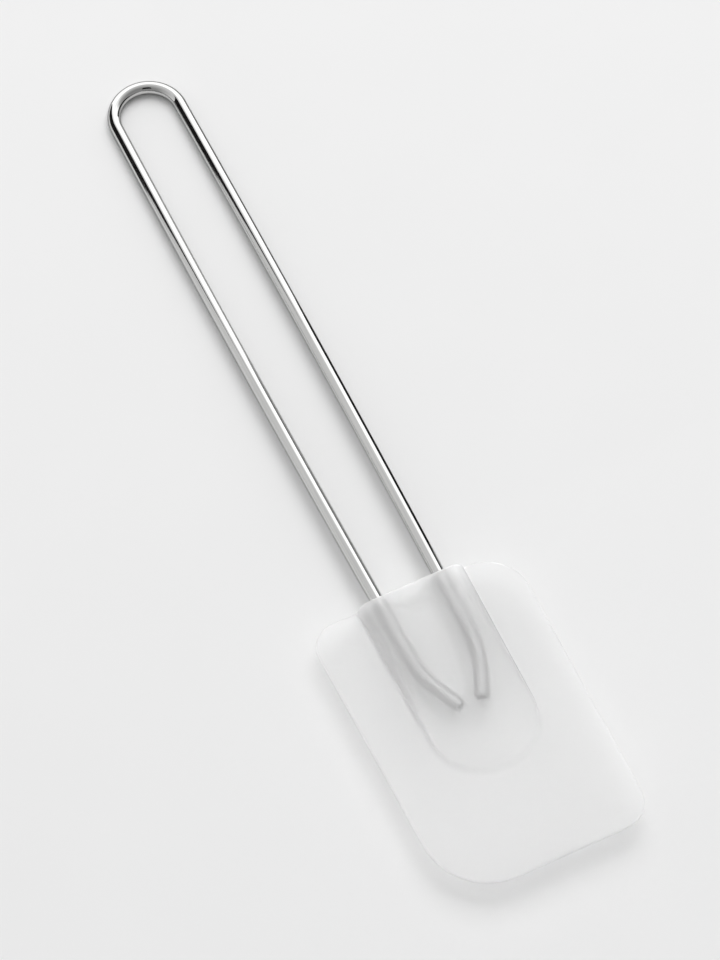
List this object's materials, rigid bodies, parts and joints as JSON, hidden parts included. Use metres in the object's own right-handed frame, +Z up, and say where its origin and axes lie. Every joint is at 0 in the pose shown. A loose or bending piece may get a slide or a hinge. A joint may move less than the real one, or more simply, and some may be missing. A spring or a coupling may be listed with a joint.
{
  "type": "bowl scraper",
  "caption": "Flexible translucent silicone bowl scraper, with a thin blade and a thick middle tongue, moulded on a polished wire hairpin handle whose closed end hangs on a hook.",
  "frame": {"origin": "centre of the footprint, on the surface that the scraper lies on", "axes": "+Y along the handle towards the hanging loop, +X to the right seen with the loop up, +Z up from the surface"},
  "size_m": [0.0586, 0.26, 0.0103],
  "materials": {
    "wire": "polished",
    "silicone": "satin"
  },
  "bodies": {
    "root": {"wire_handle": "wire", "silicone_head": "silicone"}
  },
  "joints": []
}
